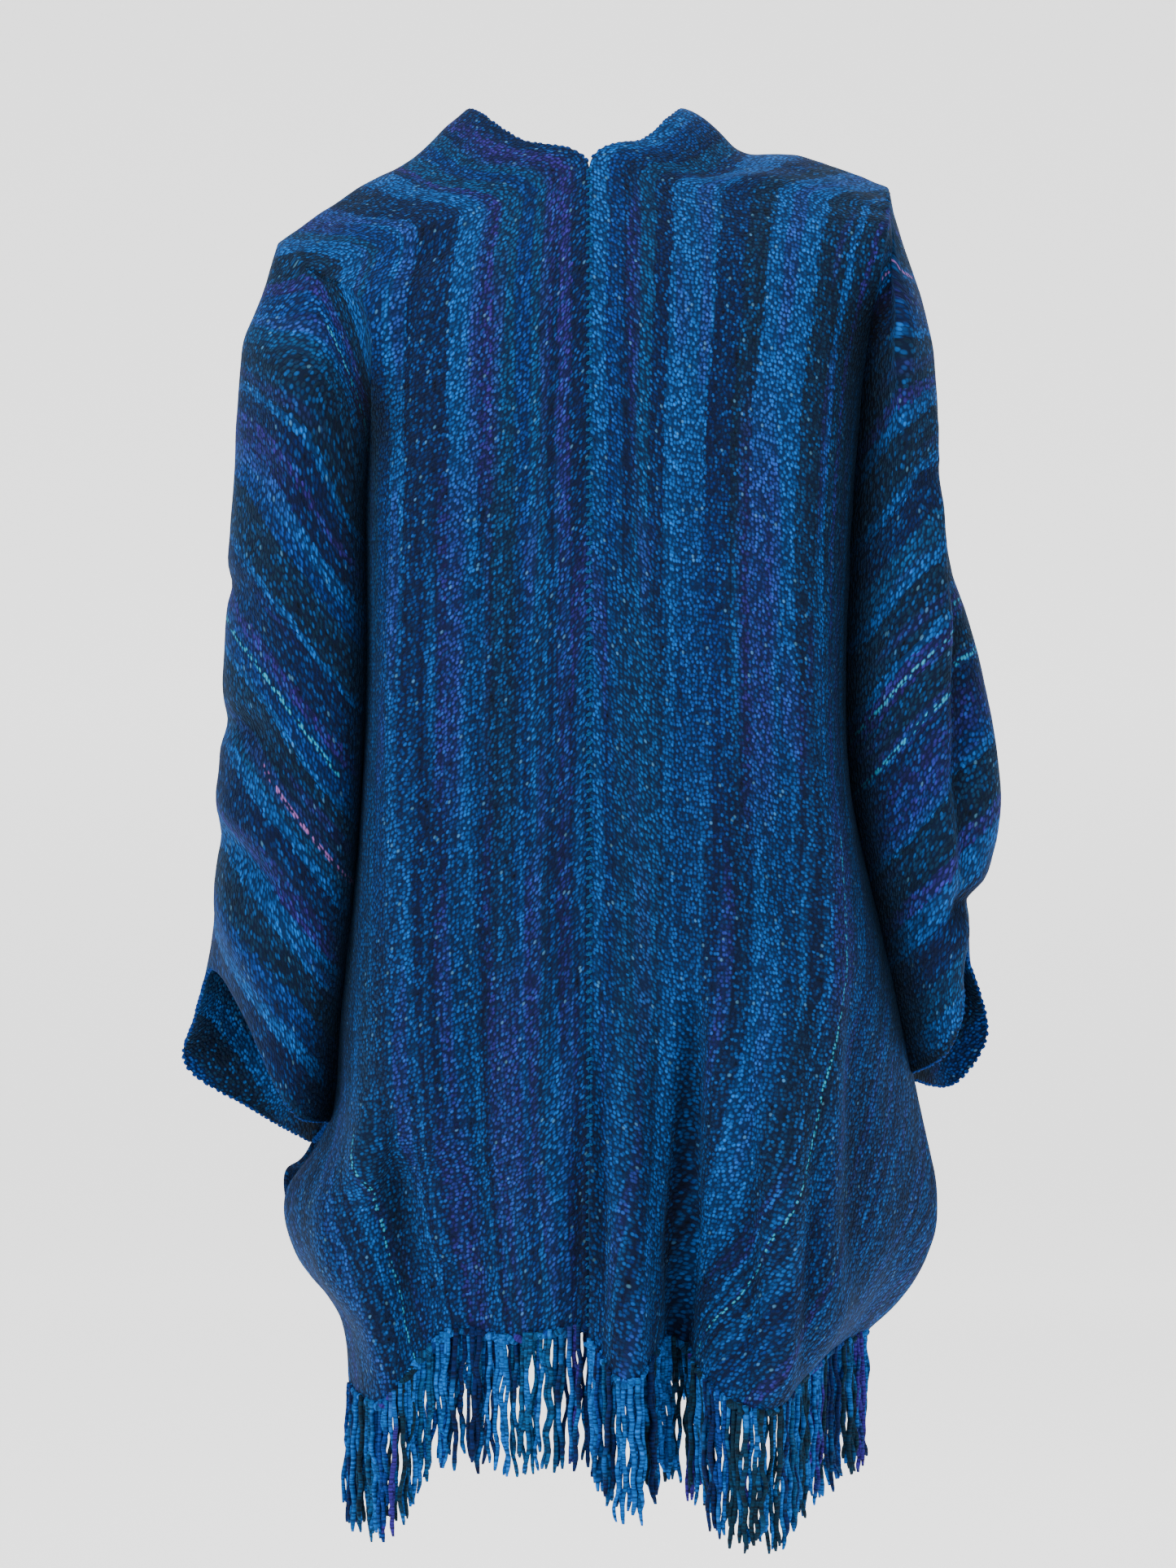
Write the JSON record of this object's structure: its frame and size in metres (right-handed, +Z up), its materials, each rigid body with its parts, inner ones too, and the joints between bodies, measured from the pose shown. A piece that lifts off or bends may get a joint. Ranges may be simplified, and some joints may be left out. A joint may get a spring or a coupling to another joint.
{
  "type": "fringed ruana wrap",
  "caption": "Open-fronted handwoven chenille wrap in its worn form, with batwing sleeves, a back seam and fringed hems.",
  "frame": {"origin": "midway between the sides of the neck, at the height where the wrap rests on the shoulders beside it", "axes": "+Z up, +Y the way the wearer faces, so the back of the wrap faces -Y and the wearer's left sleeve is at -X"},
  "size_m": [0.5084, 0.2565, 0.8603],
  "materials": {
    "cloth_left": "soft chenille weave with stripes",
    "cloth_right": "soft chenille weave with stripes",
    "fringe": "loose chenille yarn"
  },
  "bodies": {
    "root": {"panel_left": "cloth_left", "panel_right": "cloth_right", "fringe_back_left": "fringe", "fringe_back_right": "fringe", "fringe_front_left": "fringe", "fringe_front_right": "fringe"}
  },
  "joints": []
}
